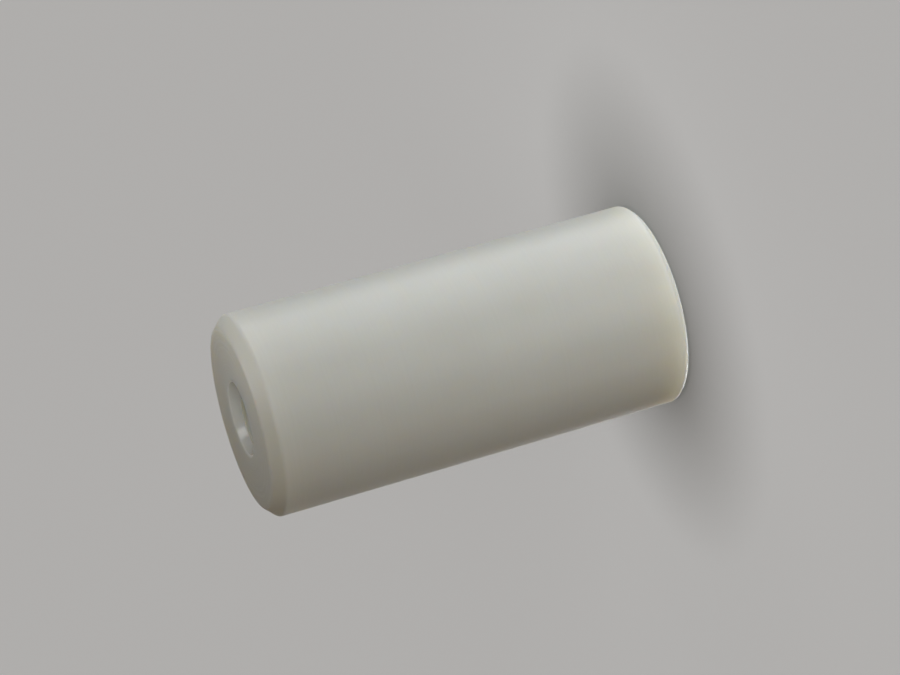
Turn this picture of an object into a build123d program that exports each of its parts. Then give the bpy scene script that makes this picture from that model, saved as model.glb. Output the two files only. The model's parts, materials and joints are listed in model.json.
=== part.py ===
"""A round support peg, turned in one piece from milky white nylon rod.

Lengths are in millimetres and angles in degrees. The peg stands on its plain foot at z = 0, with +Z along its
axis. The head at the top has a countersunk blind hole, drawn at the size of its tapping drill: the fine thread
cut in its wall is not drawn. Both rims are chamfered, the head's rim more than the foot's.
"""

import os
from math import radians, tan

from build123d import *

# Turned body
body_diameter = 16.0
body_length = 34.0
head_chamfer = 0.9
foot_chamfer = 0.45

# Blind hole in the head, tapped for a 5 mm screw
tapping_drill_diameter = 4.2
drilled_depth = 14.0
drill_point_angle = 118.0
countersink_depth = 0.9
countersink_angle = 90.0

# Places along the hole, measured up from the foot and out from the axis
drill_radius = tapping_drill_diameter / 2
mouth_radius = drill_radius + countersink_depth * tan(radians(countersink_angle / 2))
wall_top = body_length - countersink_depth
wall_bottom = body_length - drilled_depth
drill_tip = wall_bottom - drill_radius / tan(radians(drill_point_angle / 2))

with BuildPart() as support_peg:
    # Length of rod, faced off square at both ends
    with BuildSketch(Plane.XY):
        Circle(body_diameter / 2)
    extrude(amount=body_length)

    # Rims broken by a chamfer, first the head's and then the foot's
    chamfer(support_peg.faces().sort_by(Axis.Z)[-1].edges(), head_chamfer)
    chamfer(support_peg.faces().sort_by(Axis.Z)[0].edges(), foot_chamfer)

    # Hole with its countersunk mouth, straight wall and the point that the drill leaves
    with BuildSketch(Plane.XZ):
        with BuildLine():
            Polyline(
                (0, body_length),
                (mouth_radius, body_length),
                (drill_radius, wall_top),
                (drill_radius, wall_bottom),
                (0, drill_tip),
                close=True,
            )
        make_face()
    revolve(axis=Axis.Z, mode=Mode.SUBTRACT)

support_peg.part.label = "support_peg"

os.makedirs("parts", exist_ok=True)
export_step(support_peg.part, "parts/support_peg.step")
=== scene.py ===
"""Looks of the support peg: threaded hole, milky nylon, and the camera, light and floor of the main view.

Lengths are in metres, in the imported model's frame: the peg stands on its foot at z = 0, head up.
"""

import json
import math

import bmesh
import bpy
from mathutils import Matrix, Vector


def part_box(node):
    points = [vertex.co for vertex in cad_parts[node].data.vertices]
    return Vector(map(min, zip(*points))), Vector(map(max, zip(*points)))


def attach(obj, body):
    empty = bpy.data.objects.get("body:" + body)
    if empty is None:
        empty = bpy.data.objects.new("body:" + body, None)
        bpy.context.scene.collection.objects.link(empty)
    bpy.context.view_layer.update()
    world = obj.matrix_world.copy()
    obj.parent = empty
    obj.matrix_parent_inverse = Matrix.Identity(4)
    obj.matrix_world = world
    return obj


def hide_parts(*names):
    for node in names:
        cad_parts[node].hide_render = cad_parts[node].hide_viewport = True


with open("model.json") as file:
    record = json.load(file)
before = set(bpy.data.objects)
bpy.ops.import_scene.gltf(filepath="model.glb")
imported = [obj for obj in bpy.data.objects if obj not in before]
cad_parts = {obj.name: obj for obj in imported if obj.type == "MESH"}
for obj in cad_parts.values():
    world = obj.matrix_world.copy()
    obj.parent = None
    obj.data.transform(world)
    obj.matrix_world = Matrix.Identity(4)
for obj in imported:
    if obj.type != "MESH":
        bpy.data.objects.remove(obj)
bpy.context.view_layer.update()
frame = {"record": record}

MM = 0.001

# Sizes of the peg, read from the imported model
mounts = {mount["name"]: mount for mount in frame["record"]["mounts"]}


def wall_span(mount):
    """Lowest and highest point of a round mount's wall along the peg's axis."""
    half_length = mount["dims"]["length_mm"] * MM / 2
    middle = mount["pos_m"][2]
    return middle - half_length, middle + half_length


body_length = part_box("support_peg")[1].z
body_radius = mounts["shank"]["dims"]["r_mm"] * MM
side_low, side_high = wall_span(mounts["shank"])
head_face_radius = body_radius - (body_length - side_high)
foot_face_radius = body_radius - side_low
drill_radius = mounts["tapped_hole"]["dims"]["r_mm"] * MM
drill_point_angle = 118
wall_low, wall_high = wall_span(mounts["tapped_hole"])
mouth_radius = drill_radius + (body_length - wall_high)
drill_tip = wall_low - drill_radius / math.tan(math.radians(drill_point_angle / 2))

# Thread cut in the hole's wall: M5, right-handed, with a run-out above the drill point
thread_radius = 2.5 * MM
thread_pitch = 0.8 * MM
thread_flank_angle = 30
thread_flank = (thread_radius - drill_radius) * math.tan(math.radians(thread_flank_angle))
thread_root_share = 1 / 8
thread_root = thread_pitch * thread_root_share
thread_crest = thread_pitch - thread_root - 2 * thread_flank
thread_lead_in = 0.05 * MM
thread_top = body_length - (mouth_radius - thread_radius) + thread_lead_in
thread_runout_turns = 2
thread_runout = thread_runout_turns * thread_pitch
thread_low = wall_low + thread_runout
thread_start_angle = 65

# Fineness of the mesh
round_steps = 160
mouth_edge = 0.14 * MM
head_edge = 0.2 * MM
foot_edge = 0.2 * MM
edge_guard = 0.05 * MM
edge_steps = 6
flank_steps = 3
weld_distance = 0.0002 * MM
sharp_angle = 32


def countersink_radius(height):
    """Radius of the countersink's cone at a height."""
    return mouth_radius - (body_length - height)


def thread_profile(depth_in_turn):
    """Radius of the thread at a distance down one turn, from the start of its crest."""
    past_crest = depth_in_turn - thread_crest
    if past_crest <= 0:
        return drill_radius
    if past_crest <= thread_flank:
        rise = past_crest / thread_flank
    elif past_crest <= thread_flank + thread_root:
        rise = 1
    else:
        rise = (thread_pitch - depth_in_turn) / thread_flank
    return drill_radius + rise * (thread_radius - drill_radius)


def softened(corners, reaches):
    """Half-section through the corners, with a small round edge of its own reach at each inner one."""
    points = [corners[0]]
    for before, corner, after, reach in zip(corners, corners[1:], corners[2:], reaches):
        back = (before - corner).normalized()
        ahead = (after - corner).normalized()
        start = corner + back * reach
        end = corner + ahead * reach
        points.append(start + back * edge_guard)
        for step in range(edge_steps + 1):
            share = step / edge_steps
            points.append(start.lerp(corner, share).lerp(corner.lerp(end, share), share))
        points.append(end + ahead * edge_guard)
    points.append(corners[-1])
    return points


def turned_point(radius, height, step):
    angle = 2 * math.pi * step / round_steps
    return Vector((radius * math.cos(angle), radius * math.sin(angle), height))


def turn(mesh, points):
    """Turns a half-section into rings of faces about the axis. A point on the axis becomes one vertex."""
    rings = []
    for point in points:
        steps = round_steps if point.x > 0 else 1
        rings.append([mesh.verts.new(turned_point(point.x, point.y, step)) for step in range(steps)])
    for ring, after in zip(rings, rings[1:]):
        for step in range(round_steps):
            corners = []
            for line, place in ((ring, step), (ring, step + 1), (after, step + 1), (after, step)):
                vertex = line[place % len(line)]
                if vertex not in corners:
                    corners.append(vertex)
            mesh.faces.new(corners)


def cut_thread(mesh):
    """Thread between its top and its run-out, in rows that follow the helix, held between the two ends."""
    flank_shares = [step / flank_steps for step in range(1, flank_steps + 1)]
    turn_rows = [0, thread_crest / 2, thread_crest]
    turn_rows += [thread_crest + thread_flank * share for share in flank_shares]
    turn_rows += [thread_pitch - thread_flank * share for share in reversed(flank_shares)]
    turns = math.ceil((thread_top - thread_low) / thread_pitch)
    # A lap more at both ends makes up for the rise of the helix
    rows = [(lap, row) for lap in range(-1, turns + 2) for row in turn_rows]
    columns = []
    for step in range(round_steps):
        helix_rise = thread_pitch * (step / round_steps - thread_start_angle / 360)
        column = []
        for lap, row in rows:
            height = thread_top - lap * thread_pitch - row + helix_rise
            height = min(max(height, thread_low), thread_top)
            depth = thread_profile(row) - drill_radius
            fade = min((height - thread_low) / thread_runout, 1)
            radius = max(drill_radius + depth * fade, countersink_radius(height))
            if height == thread_top:
                radius = countersink_radius(thread_top)
            column.append(mesh.verts.new(turned_point(radius, height, step)))
        columns.append(column)
    for step, column in enumerate(columns):
        after = columns[(step + 1) % round_steps]
        # Round the seam the helix has risen by a turn
        lift = len(turn_rows) if step + 1 == round_steps else 0
        for row in range(len(rows) - lift - 1):
            mesh.faces.new((column[row + lift], column[row + lift + 1], after[row + 1], after[row]))


def make_peg():
    """The whole peg as one closed mesh: outside, countersink, thread and drilled end."""
    mesh = bmesh.new()
    outside = softened(
        [
            Vector((countersink_radius(thread_top), thread_top)),
            Vector((mouth_radius, body_length)),
            Vector((head_face_radius, body_length)),
            Vector((body_radius, side_high)),
            Vector((body_radius, side_low)),
            Vector((foot_face_radius, 0)),
            Vector((0, 0)),
        ],
        [mouth_edge, head_edge, head_edge, foot_edge, foot_edge],
    )
    turn(mesh, outside)
    drilled_end = [(drill_radius, thread_low), (drill_radius, wall_low), (0, drill_tip)]
    turn(mesh, [Vector(point) for point in drilled_end])
    cut_thread(mesh)
    bmesh.ops.remove_doubles(mesh, verts=mesh.verts, dist=weld_distance)
    bmesh.ops.dissolve_degenerate(mesh, edges=mesh.edges, dist=weld_distance)
    bmesh.ops.recalc_face_normals(mesh, faces=mesh.faces)
    data = bpy.data.meshes.new("turned_peg")
    mesh.to_mesh(data)
    mesh.free()
    data.shade_smooth()
    data.set_sharp_from_angle(angle=math.radians(sharp_angle))
    peg = bpy.data.objects.new("turned_peg", data)
    bpy.context.scene.collection.objects.link(peg)
    return peg


class NodeTree:
    """Short ways to add and join the nodes of a material or world."""

    def __init__(self, tree):
        self.tree = tree

    def add(self, kind, inputs=(), **settings):
        """Adds a node. Inputs pair a socket's name or number with a value or with another node's output."""
        node = self.tree.nodes.new(kind)
        for name, value in settings.items():
            setattr(node, name, value)
        for socket, value in dict(inputs).items():
            if isinstance(value, bpy.types.NodeSocket):
                self.tree.links.new(value, node.inputs[socket])
            else:
                node.inputs[socket].default_value = value
        return node

    def maths(self, operation, *values):
        return self.add("ShaderNodeMath", dict(enumerate(values)), operation=operation).outputs[0]

    def between(self, value, low, high, start=0.0, end=1.0):
        """Moves a value from the range of start to end onto the range of low to high, held at both."""
        inputs = {"Value": value, "From Min": start, "From Max": end, "To Min": low, "To Max": high}
        return self.add("ShaderNodeMapRange", inputs).outputs["Result"]

    def noise(self, place, size, detail, roughness, dimensions="3D"):
        """Noise with marks about as wide as size. In one dimension the place is a single number."""
        socket = "W" if dimensions == "1D" else "Vector"
        inputs = {socket: place, "Scale": 1 / size, "Detail": detail, "Roughness": roughness}
        return self.add("ShaderNodeTexNoise", inputs, noise_dimensions=dimensions).outputs["Fac"]

    def blend(self, share, first, second):
        """Colour between two others: a share of 0 is the first and 1 the second."""
        names = ("Factor_Float", "A_Color", "B_Color")
        node = self.add("ShaderNodeMix", data_type="RGBA")
        sockets = {socket.identifier: socket for socket in node.inputs}
        for name, value in zip(names, (share, first, second)):
            if isinstance(value, bpy.types.NodeSocket):
                self.tree.links.new(value, sockets[name])
            else:
                sockets[name].default_value = value
        return next(socket for socket in node.outputs if socket.identifier == "Result_Color")

    def seen_directly(self):
        """1 for a camera, glossy or transmission ray, and 0 for the light that falls on the object."""
        rays = self.add("ShaderNodeLightPath").outputs
        shown = self.maths("MAXIMUM", rays["Is Camera Ray"], rays["Is Glossy Ray"])
        return self.maths("MAXIMUM", shown, rays["Is Transmission Ray"])


def nylon():
    """Milky nylon: light scatters under a satin skin, with faint clouds and the lathe's fine marks."""
    material = bpy.data.materials.new("milky_nylon")
    material.use_nodes = True
    nodes = NodeTree(material.node_tree)
    shader = material.node_tree.nodes["Principled BSDF"]
    place = nodes.add("ShaderNodeTexCoord").outputs["Object"]

    # Rings that the lathe leaves: they follow the height on the side and the radius on the faces,
    # and leave the smooth chamfers of the outside free, where radius and height add up to the same
    flat = nodes.add("ShaderNodeVectorMath", {0: place, 1: (1, 1, 0)}, operation="MULTIPLY").outputs[0]
    radius = nodes.add("ShaderNodeVectorMath", {0: flat}, operation="LENGTH").outputs["Value"]
    height = nodes.add("ShaderNodeSeparateXYZ", {0: place}).outputs["Z"]
    along = nodes.maths("ADD", radius, height)
    rings = nodes.noise(along, size=0.25 * MM, detail=3, roughness=0.6, dimensions="1D")
    side_edge = 0.06 * MM
    side_ring_share = 0.2
    hole_edge = 0.15 * MM
    outside_hole = nodes.between(radius, low=0, high=1, start=mouth_radius - hole_edge, end=mouth_radius)
    face_or_side = nodes.between(
        radius, low=1, high=side_ring_share, start=body_radius - side_edge, end=body_radius
    )
    ring_strength = nodes.maths("MULTIPLY", face_or_side, outside_hole)

    # Fine grain of the skin, and clouds in the depth of the plastic
    grain = nodes.noise(place, size=0.3 * MM, detail=4, roughness=0.65)
    clouds = nodes.noise(place, size=7 * MM, detail=3, roughness=0.5)

    # The clouds and rings make the plastic a little paler or duller
    noise_middle = 0.5
    ring_tint_share = 2.0
    dull_milk = (0.635, 0.646, 0.6, 1)
    pale_milk = (0.685, 0.701, 0.664, 1)
    ring_tint = nodes.maths("MULTIPLY", nodes.maths("SUBTRACT", rings, noise_middle), ring_strength)
    paleness = nodes.maths("MULTIPLY_ADD", ring_tint, ring_tint_share, clouds)
    milk = nodes.blend(paleness, dull_milk, pale_milk)
    material.node_tree.links.new(milk, shader.inputs["Base Color"])

    # The hole's walls are burnished by the drill and the tap
    unevenness = nodes.maths("MULTIPLY_ADD", rings, ring_strength, grain)
    satin = nodes.between(unevenness, low=0.41, high=0.53, start=0.4, end=1.4)
    hole_roughness_share = 0.4
    burnish = nodes.between(outside_hole, low=hole_roughness_share, high=1)
    roughness = nodes.maths("MULTIPLY", satin, burnish)
    material.node_tree.links.new(roughness, shader.inputs["Roughness"])

    # Relief of the rings and the grain
    ring_depth = 0.012 * MM
    grain_share = 0.35
    ring_relief = nodes.maths("MULTIPLY", rings, ring_strength)
    relief = nodes.maths("MULTIPLY_ADD", grain, grain_share, ring_relief)
    bump = nodes.add("ShaderNodeBump", {"Height": relief, "Strength": 1.0, "Distance": ring_depth})
    material.node_tree.links.new(bump.outputs["Normal"], shader.inputs["Normal"])

    milkiness = {
        "IOR": 1.53,
        "Subsurface Weight": 0.9,
        "Subsurface Radius": (1.0, 0.82, 0.56),
        "Subsurface Scale": 6 * MM,
    }
    for socket, value in milkiness.items():
        shader.inputs[socket].default_value = value
    return material


def side(azimuth, elevation):
    """Direction towards a place round the peg: azimuth 0 is -Y, 90 is +X."""
    turned = math.radians(azimuth)
    raised = math.radians(elevation)
    across = math.cos(raised)
    return Vector((across * math.sin(turned), -across * math.cos(turned), math.sin(raised)))


def add_lamp(name, kind, towards):
    lamp = bpy.data.lights.new(name, kind)
    light = bpy.data.objects.new(name, lamp)
    light.rotation_mode = "QUATERNION"
    light.rotation_quaternion = towards.to_track_quat("Z", "Y")
    light.visible_camera = False
    bpy.context.scene.collection.objects.link(light)
    return light


def far_lamp(name, azimuth, elevation, strength, colour=(1, 1, 1)):
    """Soft light from far away, on the side that azimuth and elevation give."""
    spread = 34
    light = add_lamp(name, "SUN", side(azimuth, elevation))
    light.data.angle = math.radians(spread)
    light.data.energy = strength
    light.data.color = colour


def near_lamp(name, height, azimuth, elevation, reach, width, strength):
    """Soft disk near the peg, aimed at a height on its axis, as strong there as a far lamp."""
    towards = side(azimuth, elevation)
    light = add_lamp(name, "AREA", towards)
    light.location = Vector((0, 0, height)) + towards * reach
    light.data.shape = "DISK"
    light.data.size = width
    light.data.energy = math.pi * reach**2 * strength


# Tones of the stage: the backdrop is as pale as the lit floor up to a low angle, and dark overhead
backdrop_tone = 0.43
overhead_tone = 0.03
backdrop_top_angle = 4
overhead_start_angle = 9
floor_grey = 0.45
floor_glow = 0.366
# Reach and depth of the painted shade that darkens the floor's glow round the peg's foot
painted_shade_reach = 14 * MM
painted_shade_depth = 2
ambient_light = 0.08
key_colour = (0.93, 0.965, 1)
bounce_colour = (1, 0.75, 0.46)


def make_floor():
    """Pale table under the peg, its glow darkened by a painted shade round the foot. The lamps below shine
    through it onto the peg, as through a light table.
    """
    half_size = 3.0
    corners = [(-half_size, -half_size, 0), (half_size, -half_size, 0)]
    corners += [(half_size, half_size, 0), (-half_size, half_size, 0)]
    data = bpy.data.meshes.new("floor")
    data.from_pydata(corners, [], [(0, 1, 2, 3)])
    floor = bpy.data.objects.new("floor", data)
    floor.visible_shadow = False
    bpy.context.scene.collection.objects.link(floor)
    material = bpy.data.materials.new("pale_floor")
    material.use_nodes = True
    nodes = NodeTree(material.node_tree)
    material.node_tree.nodes.remove(material.node_tree.nodes["Principled BSDF"])
    grey = (floor_grey, floor_grey, floor_grey, 1)
    matt = nodes.add("ShaderNodeBsdfDiffuse", {"Color": grey}).outputs[0]
    # Painted shade: ambient occlusion darkens the floor's glow round the foot, a contact shadow made in the
    # material
    open_sky = nodes.add("ShaderNodeAmbientOcclusion", {"Distance": painted_shade_reach}).outputs["AO"]
    painted_shade = nodes.maths("POWER", open_sky, painted_shade_depth)
    seen_glow = nodes.maths("MULTIPLY", nodes.seen_directly(), floor_glow)
    strength = nodes.maths("MULTIPLY", seen_glow, painted_shade)
    glow = nodes.add("ShaderNodeEmission", {"Strength": strength}).outputs[0]
    both = nodes.add("ShaderNodeAddShader", {0: matt, 1: glow}).outputs[0]
    material.node_tree.links.new(both, material.node_tree.nodes["Material Output"].inputs["Surface"])
    data.materials.append(material)


def make_world():
    """Plain pale backdrop round the floor, with only a little even light on the peg."""
    world = bpy.data.worlds.new("studio")
    bpy.context.scene.world = world
    world.use_nodes = True
    nodes = NodeTree(world.node_tree)
    back = world.node_tree.nodes["Background"]
    towards = nodes.add("ShaderNodeTexCoord").outputs["Generated"]
    height = nodes.add("ShaderNodeSeparateXYZ", {0: towards}).outputs["Z"]
    low, high = (math.sin(math.radians(angle)) for angle in (backdrop_top_angle, overhead_start_angle))
    backdrop = nodes.between(height, backdrop_tone, overhead_tone, low, high)
    seen = nodes.seen_directly()
    strength = nodes.between(seen, ambient_light, backdrop)
    world.node_tree.links.new(strength, back.inputs["Strength"])
    world.node_tree.links.new(nodes.blend(seen, (*bounce_colour, 1), (1, 1, 1, 1)), back.inputs["Color"])


def make_camera():
    """Camera of the photograph: above the head's side, rolled so that the standing peg lies across."""
    elevation = 15.18
    roll = 105.78
    lens = 123.52
    sensor_width = 36
    near_clip = 10 * MM
    aim_right_share, aim_up_share, distance_share = 0.0190, 0.2154, 29.90
    aim = Vector((aim_right_share, aim_up_share, distance_share)) * body_radius
    data = bpy.data.cameras.new("photo_camera")
    data.sensor_width = sensor_width
    data.lens = lens
    data.clip_start = near_clip
    camera = bpy.data.objects.new("photo_camera", data)
    camera.matrix_world = (
        Matrix.Translation((0, 0, body_length / 2))
        @ Matrix.Rotation(math.radians(90 - elevation), 4, "X")
        @ Matrix.Rotation(math.radians(-roll), 4, "Z")
        @ Matrix.Translation(aim)
    )
    bpy.context.scene.collection.objects.link(camera)
    bpy.context.scene.camera = camera


peg = make_peg()
peg.data.materials.append(nylon())
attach(peg, "root")
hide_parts("support_peg")

make_floor()
make_world()
far_lamp("key", azimuth=105, elevation=-25, strength=1.08, colour=key_colour)
far_lamp("key_edge", azimuth=76, elevation=-10, strength=0.41, colour=key_colour)
far_lamp("low_key", azimuth=60, elevation=-30, strength=0.745, colour=key_colour)
far_lamp("front", azimuth=13, elevation=8, strength=0.49)
far_lamp("high_front", azimuth=-7, elevation=20, strength=0.35)
far_lamp("behind", azimuth=190, elevation=-34, strength=2, colour=key_colour)
far_lamp("bounce", azimuth=-65, elevation=-10, strength=0.15, colour=bounce_colour)
near_lamp("foot", height=0, azimuth=6, elevation=-27, reach=65 * MM, width=55 * MM, strength=0.76)
near_lamp(
    "head_key", height=body_length, azimuth=90, elevation=62, reach=20 * MM, width=9 * MM, strength=0.5
)
near_lamp(
    "head_front", height=body_length, azimuth=45, elevation=52, reach=14 * MM, width=9 * MM, strength=0.42
)
make_camera()
bpy.context.scene.view_settings.view_transform = "Standard"
